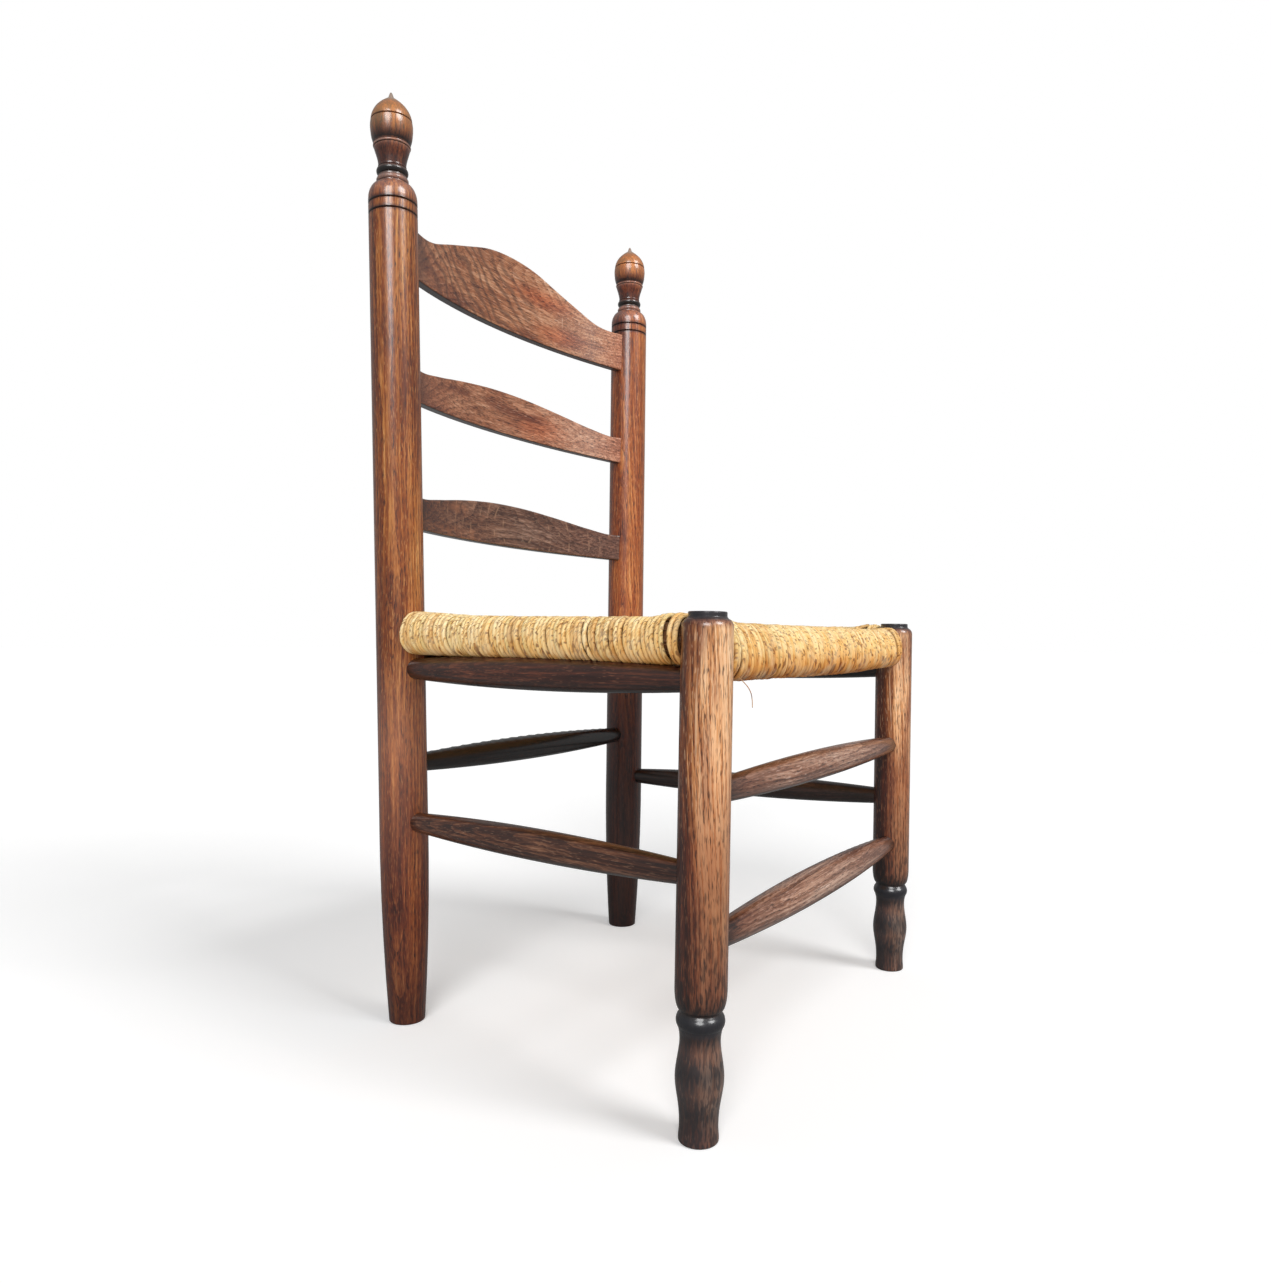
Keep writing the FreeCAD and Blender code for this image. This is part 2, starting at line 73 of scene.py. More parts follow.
# %% Colour and node helpers
def colour(code, alpha=1.0):
    values = [int(code[i : i + 2], 16) / 255 for i in (1, 3, 5)]
    linear = [v / 12.92 if v <= 0.04045 else ((v + 0.055) / 1.055) ** 2.4 for v in values]
    return (*linear, alpha)


def grey(level):
    return (level, level, level, 1.0)


def add(tree, kind, inputs=(), out=None, stops=(), **settings):
    """Adds a node and gives back the output that out names, or the node itself.

    Each input is a number or colour to set, or another node's output to link. The stops of a colour
    ramp are (position, hex code) or (position, hex code, alpha).
    """
    node = tree.nodes.new(kind)
    for name, value in settings.items():
        setattr(node, name, value)
    for key, value in dict(inputs).items():
        if isinstance(value, bpy.types.NodeSocket):
            tree.links.new(value, node.inputs[key])
        else:
            node.inputs[key].default_value = value
    if stops:
        elements = node.color_ramp.elements
        elements.remove(elements[-1])
        for order, (position, *tone) in enumerate(stops):
            element = elements.new(position) if order else elements[0]
            element.position = position
            element.color = colour(*tone)
    return node.outputs[out] if out else node


def blank_material(name):
    """A new material, and its node tree with nothing in it."""
    material = bpy.data.materials.new(name)
    material.use_nodes = True
    material.node_tree.nodes.clear()
    return material, material.node_tree


print("white is", colour("#ffffff"))

# %% [markdown]
# ## Patterns on the wood
# A noise is made fine or coarse by its scale, so two functions work the scale out from a real size.
# A worn patch is a soft ball of space. Stain and wear are tints that a pattern lets through in places.


# %% Scales, patches and tints
def per(size):
    """Texture scale at which one feature is this many millimetres wide."""
    return 1000.0 / size


def wave_per(size):
    """The same for a Wave texture, whose bands are 2 pi / 20 of a unit wide at a scale of 1."""
    return per(size) * math.pi / 10


def spot(tree, place, centre, size):
    """1 at a centre and 0 at its edge, for a worn or warm patch. Centre and size are in millimetres."""
    scale = [per(reach) for reach in size]
    shift = [-mm(c) * k for c, k in zip(centre, scale)]
    ball = add(tree, "ShaderNodeMapping", {"Vector": place, "Scale": scale, "Location": shift}, "Vector")
    return add(tree, "ShaderNodeTexGradient", {"Vector": ball}, "Fac", gradient_type="SPHERICAL")


def tint_where(tree, under, tint, *rises, most=1.0, blend="MIX"):
    """Lays a tint over a colour where each value rises from low to high. Its largest share is most."""
    share = most
    for value, low, high in rises:
        limits = {"Value": value, "From Min": low, "From Max": high}
        rise = add(tree, "ShaderNodeMapRange", limits, "Result", interpolation_type="SMOOTHSTEP")
        share = add(tree, "ShaderNodeMath", {0: rise, 1: share}, "Value", operation="MULTIPLY")
    layers = {"Factor": share, "A": under, "B": colour(tint)}
    return add(tree, "ShaderNodeMix", layers, "Result", data_type="RGBA", blend_type=blend)


# %% [markdown]
# ## Stained oak under varnish
# Oak is ring-porous: each year starts with a row of open pores, which take the stain dark, and ends in
# dense wood, which stays lighter. On a turned leg the rings show as long stripes and narrow ovals.
# The rings are a Wave texture about a pith line beside the piece. The pores are long thin noise.
# The real pores are 0.3 mm wide, too fine to show here, so they are drawn 1 mm wide.
# The varnish is a coat over the stained wood: it gives the satin streaks, and the wood the broad sheen.

# %% Where the grain lies
TURN = {"Z": (0, 0, 0), "Y": (math.radians(90), 0, 0), "X": (0, math.radians(-90), 0)}
WANDER = mm(16)
HAND_WIDTH = 60


def grain_place(tree, place, along, centre, seed):
    """Turns the place so that Z runs along the grain, which wanders a little over a hand's width."""
    turn = Euler(TURN[along])
    shift = turn.to_matrix() @ -Vector(centre)
    local = add(tree, "ShaderNodeMapping", {"Vector": place, "Rotation": turn, "Location": shift}, "Vector")
    slow = {"Vector": local, "Scale": (1, 1, 0.2), "Location": (seed, seed * 2, seed * 3)}
    sway = add(tree, "ShaderNodeMapping", slow, "Vector")
    hands = {"Vector": sway, "Scale": per(HAND_WIDTH), "Detail": 2.0}
    wander = add(tree, "ShaderNodeTexNoise", hands, "Color")
    bend = {0: wander, 1: (WANDER, WANDER, 0.0), 2: local}
    bent = add(tree, "ShaderNodeVectorMath", bend, "Vector", operation="MULTIPLY_ADD")
    return local, sway, bent


# %% Year rings
YEAR_WIDTH = 4.0


def year_rings(tree, bent, pith, lean):
    """Rises from 0 to 1 through each year's growth, about a pith that leans beside the piece."""
    about_pith = {
        "Vector": bent,
        "Location": (mm(pith[0]), mm(pith[1]), 0),
        "Rotation": (math.radians(lean), math.radians(lean), 0),
    }
    trunk = add(tree, "ShaderNodeMapping", about_pith, "Vector")
    return add(
        tree,
        "ShaderNodeTexWave",
        {"Vector": trunk, "Scale": wave_per(YEAR_WIDTH), "Distortion": 1.2, "Detail": 2.0},
        "Fac",
        wave_type="RINGS",
        rings_direction="Z",
        wave_profile="SAW",
    )


# %% Stripes, fibres and pores
STRIPE_WIDTH = 7
FIBRE_WIDTH = 2.4
PORE_WIDTH = 1.0


def fine_grain(tree, bent, rings, seed):
    """Three noises stretched along the grain, and the depth of the pores, deepest early in each year."""
    stretched = {"Vector": bent, "Scale": (1, 1, 0.025), "Location": (seed, 0, 0)}
    long_grain = add(tree, "ShaderNodeMapping", stretched, "Vector")
    stripes = {"Vector": long_grain, "Scale": per(STRIPE_WIDTH), "Detail": 2.0}
    stripe = add(tree, "ShaderNodeTexNoise", stripes, "Fac")
    fibres = {"Vector": long_grain, "Scale": per(FIBRE_WIDTH), "Detail": 3.0, "Roughness": 0.65}
    fibre = add(tree, "ShaderNodeTexNoise", fibres, "Fac")
    short = {"Vector": bent, "Scale": (1, 1, 0.11), "Location": (0, seed, 0)}
    dashes = add(tree, "ShaderNodeMapping", short, "Vector")
    pores = {"Vector": dashes, "Scale": per(PORE_WIDTH), "Detail": 1.0}
    pore = add(tree, "ShaderNodeTexNoise", pores, "Fac")

    # Pores are open where their noise is high, and shallower as the year goes on
    limits = {"Value": pore, "From Min": 0.52, "From Max": 0.66, "To Max": 0.85}
    opened = add(tree, "ShaderNodeMapRange", limits, "Result", interpolation_type="SMOOTHSTEP")
    limits = {"Value": rings, "From Min": 0.1, "From Max": 0.75, "To Min": 1.0, "To Max": 0.45}
    early = add(tree, "ShaderNodeMapRange", limits, "Result")
    depth = add(tree, "ShaderNodeMath", {0: opened, 1: early}, "Value", operation="MULTIPLY")
    return stripe, fibre, pore, depth


# %% Light and dark wood
FIBRE_SHARE = 0.62
RING_SHARE = 0.3
CONTRAST = 3.4
DARKENING = -1.2
FRONT_LIGHT_REACH = mm(12)


def wood_tone(tree, place, centre, grain, worn, shade):
    """Light or dark by stripe, fibre and ring, with painted light on the front and painted shade all over.
    """
    stripe, fibre, rings = grain
    layers = {"Factor": FIBRE_SHARE, "A": stripe, "B": fibre}
    soft = add(tree, "ShaderNodeMix", layers, "Result", data_type="FLOAT")
    stretch = {0: soft, 1: CONTRAST, 2: DARKENING}
    spread = add(tree, "ShaderNodeMath", stretch, "Value", operation="MULTIPLY_ADD")
    layers = {"Factor": RING_SHARE, "A": spread, "B": rings}
    tone = add(tree, "ShaderNodeMix", layers, "Result", data_type="FLOAT")
    # Painted light and shade: the front, toward the key lamp, is lighter by worn, and shade darkens every
    # side, the back most
    across = add(tree, "ShaderNodeSeparateXYZ", {"Vector": place}, "Y")
    back, front = centre[1] + FRONT_LIGHT_REACH, centre[1] - FRONT_LIGHT_REACH
    limits = {"Value": across, "From Min": back, "From Max": front, "To Max": worn}
    front_light = add(tree, "ShaderNodeMapRange", limits, "Result", interpolation_type="SMOOTHSTEP")
    lit = add(tree, "ShaderNodeMath", {0: front_light, 1: shade}, "Value", operation="ADD")
    return add(tree, "ShaderNodeMath", {0: tone, 1: lit}, "Value", operation="ADD")


# %% Stain on the wood
TONE_STOPS = (0.0, 0.45, 0.8, 1.0)
BLOTCHES = ((0.34, "#b09082"), (0.48, "#ecdcd0"), (0.64, "#ffffff"))


def stain_wood(tree, tone, tones, sway, pore, depth):
    """Colours the wood by its tone, then adds soft blotches, pale dashes and dark pores."""
    wood = add(tree, "ShaderNodeValToRGB", {"Fac": tone}, "Color", list(zip(TONE_STOPS, tones)))
    blotch = add(tree, "ShaderNodeTexNoise", {"Vector": sway, "Scale": per(30), "Detail": 4.0}, "Fac")
    patchy = add(tree, "ShaderNodeValToRGB", {"Fac": blotch}, "Color", BLOTCHES)
    layers = {"Factor": 1.0, "A": wood, "B": patchy}
    blotched = add(tree, "ShaderNodeMix", layers, "Result", data_type="RGBA", blend_type="MULTIPLY")
    dashed = tint_where(tree, blotched, tones[-1], (pore, 0.40, 0.30), most=0.35)
    layers = {"Factor": depth, "A": dashed, "B": colour("#32170c")}
    return add(tree, "ShaderNodeMix", layers, "Result", data_type="RGBA")


# %% Stain that gathers, and painted shade below
def stain_and_shade_below(tree, under, local, stain):
    """Tints the wood by its place along the grain; a tint's cover hides the grain. Undersides get painted
    shade.
    """
    low, high = stain[0][0], stain[-1][0]
    height = add(tree, "ShaderNodeSeparateXYZ", {"Vector": local}, "Z")
    limits = {"Value": height, "From Min": mm(low), "From Max": mm(high)}
    share = add(tree, "ShaderNodeMapRange", limits, "Result")
    stops = [((at - low) / (high - low), code, cover) for at, code, cover in stain]
    tint = add(tree, "ShaderNodeValToRGB", {"Fac": share}, stops=stops).outputs
    layers = {"Factor": 1.0, "A": under, "B": tint["Color"]}
    tinted = add(tree, "ShaderNodeMix", layers, "Result", data_type="RGBA", blend_type="MULTIPLY")
    layers = {"Factor": tint["Alpha"], "A": tinted, "B": tint["Color"]}
    covered = add(tree, "ShaderNodeMix", layers, "Result", data_type="RGBA")

    # Painted shade: undersides are darkened, as if in shadow
    facing = add(tree, "ShaderNodeNewGeometry", out="Normal")
    upward = add(tree, "ShaderNodeSeparateXYZ", {"Vector": facing}, "Z")
    return tint_where(tree, covered, "#553426", (upward, -0.4, -0.95), blend="MULTIPLY")


# %% Varnish
def varnish(tree, finished, fibre, depth):
    """A satin sheen that the fibres break up, under a clear coat that gives the sharper streaks."""
    relief = add(tree, "ShaderNodeMath", {0: fibre, 1: depth}, "Value", operation="SUBTRACT")
    bump = add(tree, "ShaderNodeBump", {"Height": relief, "Strength": 0.4, "Distance": mm(0.3)}, "Normal")
    dull = add(tree, "ShaderNodeMapRange", {"Value": fibre, "To Min": 0.34, "To Max": 0.54}, "Result")
    coated = {
        "Base Color": finished,
        "Roughness": dull,
        "Normal": bump,
        "IOR": 1.45,
        "Specular IOR Level": 0.45,
        "Coat Weight": 1.0,
        "Coat Roughness": 0.2,
        "Coat IOR": 1.55,
    }
    shader = add(tree, "ShaderNodeBsdfPrincipled", coated, "BSDF")
    add(tree, "ShaderNodeOutputMaterial", {"Surface": shader})


# %% Oak material
def stained_oak(
    name, along, centre, tones, stain, pith=(45, 30), lean=1.5, seed=0.0, marks=None, worn=0.0, shade=0.0
):
    """Oak whose grain runs along one axis.

    tones are four colours from dark to pale. stain is a list of (mm along the grain, tint, cover).
    """
    material, tree = blank_material(name)
    place = add(tree, "ShaderNodeTexCoord", out="Object")
    local, sway, bent = grain_place(tree, place, along, centre, seed)
    rings = year_rings(tree, bent, pith, lean)
    stripe, fibre, pore, depth = fine_grain(tree, bent, rings, seed)
    grain = (stripe, fibre, rings)
    tone = wood_tone(tree, place, centre, grain, worn, shade)
    finished = stain_wood(tree, tone, tones, sway, pore, depth)
    if marks:
        finished = marks(tree, place, bent, finished)
    finished = stain_and_shade_below(tree, finished, local, stain)
    varnish(tree, finished, fibre, depth)
    return material


def dress(name, material):
    """Gives a CAD node its finish."""
    mesh = nodes[name].data
    mesh.materials.clear()
    mesh.materials.append(material)
    for polygon in mesh.polygons:
        polygon.material_index = 0


# %% [markdown]
# ## The posts and the front legs
# The posts are orange-brown, and darken toward the floor: partly stain, where years of mopping and boots
# leave them nearly black, and partly painted shade. The front of each post and leg is painted lighter, as
# painted light from the lamp in front, and its back darker, as painted shade. The turned coves and grooves
# hold the darkest stain, and each finial's collar has a pale painted highlight. A painted image could show
# all this, but it would have to be unwrapped round each turning. Tints by real height fit a turned piece
# at once, so each groove gets its own stops.

# %% Tints up the posts
# Low on the posts the darkening toward the floor is partly stain and partly painted shade. The left post's
# foot is deeper still, as painted shade of the seat, and a pale tint at 300 mm on the right post is painted
# light.
LOW_STAIN_LIGHT_AND_SHADE = {
    "right": [(0, "#866c62", 0), (135, "#dcc0b2", 0), (300, "#ffe8d4", 0.07), (400, "#ffffff", 0)],
    "left": [(0, "#4a3830", 0), (200, "#6e5448", 0), (330, "#987c6c", 0), (420, "#ffffff", 0)],
}
POST_STAIN_AND_HIGHLIGHT = [
    (866, "#ffffff", 0),
    (866.4, "#6a3424", 0),
    (868.4, "#6a3424", 0),
    (868.8, "#ffffff", 0),
    (877.2, "#ffffff", 0),
    (877.6, "#6a3424", 0),
    (879.4, "#6a3424", 0),
    (879.8, "#ffffff", 0),
    (897, "#fce4d8", 0.1),
    (900.5, "#5a4238", 0),
    (902, "#d8b8a8", 0.25),
    (906, "#d0b4a8", 0.25),
    (908, "#4a3832", 0),
    (909.8, "#221a18", 0.4),
    (914.4, "#221a18", 0.4),
    (916, "#a08478", 0.1),
    (919, "#8a7068", 0),
    (936, "#b09488", 0),
    # Painted highlight: a pale line on the collar under the ball
    (940, "#ecccba", 0.25),
    (942.8, "#ecccba", 0.25),
    (944.5, "#3a2418", 0),
    (959, "#ffe0a0", 0.1),
    (967.8, "#ffd890", 0.14),
    (968.2, "#6a3424", 0),
    (969.2, "#6a3424", 0),
    (969.8, "#f8c880", 0.22),
    (985, "#f8c880", 0.16),
    (991, "#c8b8a8", 0.45),
]
print("tints up a post:", len(LOW_STAIN_LIGHT_AND_SHADE["right"] + POST_STAIN_AND_HIGHLIGHT), "of the 32 that a ramp can hold")

# %% Tints up the legs
LEG_STAIN = [
    (0, "#7c6c70", 0.08),
    (26, "#58545c", 0.1),
    (46, "#80787e", 0.1),
    (60, "#56545c", 0.12),
    (76, "#8c7e80", 0.1),
    (88, "#4a4248", 0.1),
    (94, "#1c1d26", 0.6),
    (105, "#1c1d26", 0.6),
    (108, "#3a2e30", 0),
    (126, "#8e7064", 0),
    (180, "#a88874", 0),
    (245, "#c09e88", 0),
    (310, "#fff4ec", 0),
    (421, "#ffffff", 0),
    (427, "#a08078", 0),
    (429.5, "#26272f", 0.4),
    (436, "#30323c", 0.5),
]


# %% Marks of wear on the legs
def leg_marks(sign):
    """Coarse dark grain and worn ovals on the ankle, and a painted highlight: one bright line high on the
    leg.
    """
    oval_x, oval_y = sign * 243 - 18, -218

    def marks(tree, place, bent, under):
        coarse = add(tree, "ShaderNodeMapping", {"Vector": bent, "Scale": (1, 1, 0.22)}, "Vector")
        grain = add(tree, "ShaderNodeTexNoise", {"Vector": coarse, "Scale": per(2.6), "Detail": 1.0}, "Fac")
        height = add(tree, "ShaderNodeSeparateXYZ", {"Vector": place}, "Z")
        low_down = (height, mm(240), mm(90))
        under = tint_where(tree, under, "#241410", (grain, 0.47, 0.6), low_down, most=0.75)
        for oval_z, size in ((45, (20, 20, 13)), (76, (22, 22, 11))):
            oval = spot(tree, place, (oval_x, oval_y, oval_z), size)
            under = tint_where(tree, under, "#c98a52", (oval, 0.1, 0.8), most=0.4)
        # Painted highlight: a bright streak down the leg
        highlight_line = spot(tree, bent, (-13.6, 3.6, 345), (30, 1.3, 60))
        return tint_where(tree, under, "#f0c8a0", (highlight_line, 0.1, 0.8), most=0.6)

    return marks


# %% Dress the posts and the legs
POST_OAK = {
    "right": ("#542004", "#8a450f", "#b97634", "#d39a5c"),
    "left": ("#662a08", "#9e4e14", "#c97e3e", "#e2a268"),
}
LEG_OAK = ("#54280f", "#965624", "#dea56c", "#f8d4aa")
# Painted light on the front of each leg, and painted shade, deeper on the left leg, the far one
LEG_LIGHT_AND_SHADE = {"right": {"worn": 0.78, "shade": -0.34}, "left": {"worn": 0.94, "shade": -0.5}}
for side, sign in (("right", -1), ("left", 1)):
    post = stained_oak(
        f"stained_oak_post_{side}",
        "Z",
        (sign * POST_X, POST_Y, 0),
        POST_OAK[side],
        LOW_STAIN_LIGHT_AND_SHADE[side] + POST_STAIN_AND_HIGHLIGHT,
        seed=2.0 + sign,
        # Painted light on the front, and painted shade
        worn=0.32,
        shade=-0.26,
    )
    dress(f"rear_post_{side}", post)
    leg = stained_oak(
        f"stained_oak_leg_{side}",
        "Z",
        (sign * LEG_X, LEG_Y, 0),
        LEG_OAK,
        LEG_STAIN,
        pith=(30, -20),
        seed=5.0 + sign,
        marks=leg_marks(sign),
        **LEG_LIGHT_AND_SHADE[side],
    )
    dress(f"front_leg_{side}", leg)
print("dressed posts and legs")

# %% [markdown]
# ## The slats
# Each slat is sawn from another part of the tree, so each has a figure of its own. The top one is cut
# where the trunk forks, and dark waves cross it on the slant. The middle one has fine slanting grain.
# The lowest is cut along the rays, which show as pale curved flecks. Waves and stretched noise draw
# these figures in space, so they run through the wood and meet at the edges, as sawn grain does.


# %% Figure of the top slat
def fork_waves(tree, place, bent, under):
    """Dark wandering waves about 15 mm apart, two honey-coloured patches and a scratch."""
    turned = {"Vector": place, "Rotation": (0, math.radians(48), 0)}
    slant = add(tree, "ShaderNodeMapping", turned, "Vector")
    wandering = {"Vector": slant, "Scale": wave_per(15), "Distortion": 10.0, "Detail": 1.0}
    waves = add(tree, "ShaderNodeTexWave", {**wandering, "Detail Scale": 0.9}, "Fac", wave_profile="SIN")
    middle = spot(tree, place, (-70, 225, 855), (165, 200, 75))
    under = tint_where(tree, under, "#4a2c20", (waves, 0.65, 0.0), (middle, 0.05, 0.5), most=0.55)
    for centre, size in (((62, 222, 874), (95, 200, 20)), ((95, 210, 832), (70, 200, 18))):
        warm = spot(tree, place, centre, size)
        under = tint_where(tree, under, "#ffb060", (warm, 0.0, 0.9), most=0.6, blend="MULTIPLY")
    scratch = spot(tree, place, (98, 200, 853), (0.9, 60, 14))
    return tint_where(tree, under, "#d8b8a0", (scratch, 0.1, 0.6), most=0.5)


# %% Figure of the middle slat
def slant_grain(tree, place, bent, under):
    """Fine dark lines on the slant, and a warm patch right of the middle."""
    stretched = {"Vector": place, "Rotation": (0, math.radians(-16), 0), "Scale": (0.06, 1, 1)}
    slant = add(tree, "ShaderNodeMapping", stretched, "Vector")
    lines = add(tree, "ShaderNodeTexNoise", {"Vector": slant, "Scale": per(2), "Detail": 2.0}, "Fac")
    under = tint_where(tree, under, "#4a2818", (lines, 0.52, 0.66), most=0.42)
    warm = spot(tree, place, (55, 222, 697), (75, 200, 26))
    return tint_where(tree, under, "#ffb46c", (warm, 0.0, 0.9), most=0.5, blend="MULTIPLY")


# %% Figure of the lowest slat
def ray_flecks(tree, place, bent, under):
    """Pale arcs 1 mm wide, where a ray comes to the face, and worn patches at the left."""
    arc = add(tree, "ShaderNodeMapping", {"Vector": place, "Location": (mm(-30), 0, mm(-550))}, "Vector")
    curved = {"Vector": arc, "Scale": wave_per(17), "Distortion": 6.0, "Detail": 1.0, "Detail Scale": 0.5}
    rays = add(tree, "ShaderNodeTexWave", curved, "Fac", wave_type="RINGS", rings_direction="Y")
    broken = add(tree, "ShaderNodeTexNoise", {"Vector": place, "Scale": per(14), "Detail": 2.0}, "Fac")
    under = tint_where(tree, under, "#c4a080", (rays, 0.92, 1.0), (broken, 0.5, 0.62), most=0.3)
    for centre, size in (((-110, 215, 540), (70, 200, 12)), ((-105, 215, 570), (34, 200, 9))):
        worn = spot(tree, place, centre, size)
        under = tint_where(tree, under, "#a87450", (worn, 0.05, 0.8), (broken, 0.42, 0.6), most=0.45)
    return under


# %% Dress the slats
SLATS = {
    "top_slat": (("#844c30", "#ba825c", "#daac8a", "#eeccb8"), 862, 18, 7.0, fork_waves),
    "middle_slat": (("#865038", "#ba8464", "#daac90", "#eccab4"), 695, 30, 3.0, slant_grain),
    "lower_slat": (("#40291f", "#6c4e40", "#947564", "#aa9080"), 552, 26, 2.0, ray_flecks),
}
DARK_SPAN = [
    (-205, "#4e382a", 0),
    (-170, "#dcb490", 0),
    (-90, "#fbe6d4", 0),
    (20, "#ffffff", 0),
    (200, "#e8d4d0", 0),
]
# Painted sheen: the top and middle slats are lighter toward their right ends, standing in for the varnish's
# reflection there.
PALE_SPAN_AND_SHEEN = [
    (-205, "#6a5048", 0),
    (-165, "#dcc4b0", 0),
    (-60, "#e8dcd0", 0),
    (60, "#ece2dc", 0),
    (150, "#ffffff", 0.06),
    (200, "#f4dcd4", 0),
]
for name, (tones, height, pith, lean, figure) in SLATS.items():
    oak = stained_oak(
        f"stained_oak_{name}",
        "X",
        (0, POST_Y, mm(height)),
        tones,
        DARK_SPAN if name == "lower_slat" else PALE_SPAN_AND_SHEEN,
        pith=(pith, 25),
        lean=lean,
        seed=height / 10,
        marks=figure,
    )
    dress(name, oak)
print("dressed", len(SLATS), "slats")

# %% [markdown]
# ## The stretchers
# Seven turned bars tie the legs and the posts. Feet have rubbed the two in front pale, and they are a
# little paler still as painted light for the sheen on top. The ones under the seat are painted almost
# black, as painted shade of the seat. Stain gathers at the ends of each bar.
# One material function serves them all, with the grain turned along each bar and a seed of its own.

# %% Dress the stretchers
ENDS = [
    (-225, "#4c3c36", 0),
    (-185, "#b8a094", 0),
    (-100, "#ffffff", 0),
    (100, "#ffffff", 0),
    (185, "#b8a094", 0),
    (225, "#4c3c36", 0),
]
# The front bars' tones are partly painted light for the sheen on top. The last three tones are painted
# shade, for the bars in the seat's shadow.
FRONT_OAK = ("#54301e", "#966a52", "#caa690", "#e4c8b8")
SIDE_OAK = ("#1e0d07", "#442213", "#7e5238", "#a47c60")
SHADE_OAK = ("#200b05", "#421d10", "#6c3820", "#925e42")
SHADED_BLACK_OAK = ("#080605", "#0f0a08", "#1c1310", "#30241f")
SHADED_DARK_OAK = ("#150c08", "#281811", "#422a20", "#5a3e32")
SIDE_X = mm(229)
STRETCHERS = {
    "upper_front_stretcher": ("X", (0, LEG_Y, mm(284)), FRONT_OAK),
    "lower_front_stretcher": ("X", (0, LEG_Y, mm(160)), FRONT_OAK),
    "back_stretcher": ("X", (0, POST_Y, mm(277)), SHADED_BLACK_OAK),
    "upper_side_stretcher_right": ("Y", (-SIDE_X, MIDDLE_Y, mm(380)), SHADE_OAK),
    "upper_side_stretcher_left": ("Y", (SIDE_X, MIDDLE_Y, mm(380)), SHADED_BLACK_OAK),
    "lower_side_stretcher_right": ("Y", (-SIDE_X, MIDDLE_Y, mm(217)), SIDE_OAK),
    "lower_side_stretcher_left": ("Y", (SIDE_X, MIDDLE_Y, mm(217)), SHADED_DARK_OAK),
}
for order, (name, (along, centre, tones)) in enumerate(STRETCHERS.items()):
    oak = stained_oak(f"stained_oak_{name}", along, centre, tones, ENDS, pith=(20, 14), seed=11.0 + order)
    dress(name, oak)
print("dressed", len(STRETCHERS), "stretchers")

# %% [markdown]
# ## The seat rails
# The rush hides the four rails that it is wound on, so there is no need to stain them: they are bare oak,
# pale and even from end to end.

# %% Dress the seat rails
BARE_OAK = ("#6c4c30", "#8a6848", "#a8845c", "#c4a27c")
NO_STAIN = [(-250, "#ffffff", 0), (250, "#ffffff", 0)]
for side, along in (("front", "X"), ("back", "X"), ("left", "Y"), ("right", "Y")):
    oak = stained_oak(f"bare_oak_seat_rail_{side}", along, (0, 0, mm(410)), BARE_OAK, NO_STAIN)
    dress(f"seat_rail_{side}", oak)
print("dressed four seat rails")

# %% [markdown]
# ## Rush
# A rush strand is two or three leaves of bulrush, twisted together while damp. It dries golden, darker
# and greener in some leaves. Each strand gets its own tone, stored on its mesh. The fibres are noise that
# is fine across the strand and long with it, slanted by the twist. Old leaf breaks leave short dark dashes.
# Hairs could be modelled on each strand, but noise gives the same look with no more faces. The fibres of
# a real leaf are too fine to show here, so they are drawn 1.7 mm wide.

# %% Where the fibres lie
def leaf_place(tree, split, along, slant, strand_tone):
    """Fine across a strand and slow along it, slanted by the twist, and different in each strand."""
    run = split["Y" if along == "X" else "X"]
    length = add(tree, "ShaderNodeMath", {0: run, 1: split["Z"]}, "Value", operation="ADD")
    slanted = {0: length, 1: slant, 2: split[along]}
    twisted = add(tree, "ShaderNodeMath", slanted, "Value", operation="MULTIPLY_ADD")
    slow = add(tree, "ShaderNodeMath", {0: length, 1: 0.09}, "Value", operation="MULTIPLY")
    layer = add(tree, "ShaderNodeMath", {0: strand_tone, 1: 3.0}, "Value", operation="MULTIPLY")
    return add(tree, "ShaderNodeCombineXYZ", {"X": twisted, "Y": slow, "Z": layer}, "Vector")


# %% Rush material
LEAF_TONES = ((0.0, "#d9b072"), (0.2, "#f0cb8c"), (0.5, "#fadca0"), (0.8, "#fde8b8"), (1.0, "#e6d096"))
STREAKS = ((0.28, "#8e5c28"), (0.4, "#ecd8b0"), (0.54, "#ffffff"))
LOW_ROLL_SHADE = ((0.0, "#c48f58"), (0.2, "#efc694"), (0.5, "#fff2dc"), (1.0, "#ffffff"))
ROLL_BOTTOM = mm(378)
ROLL_TOP = mm(432)


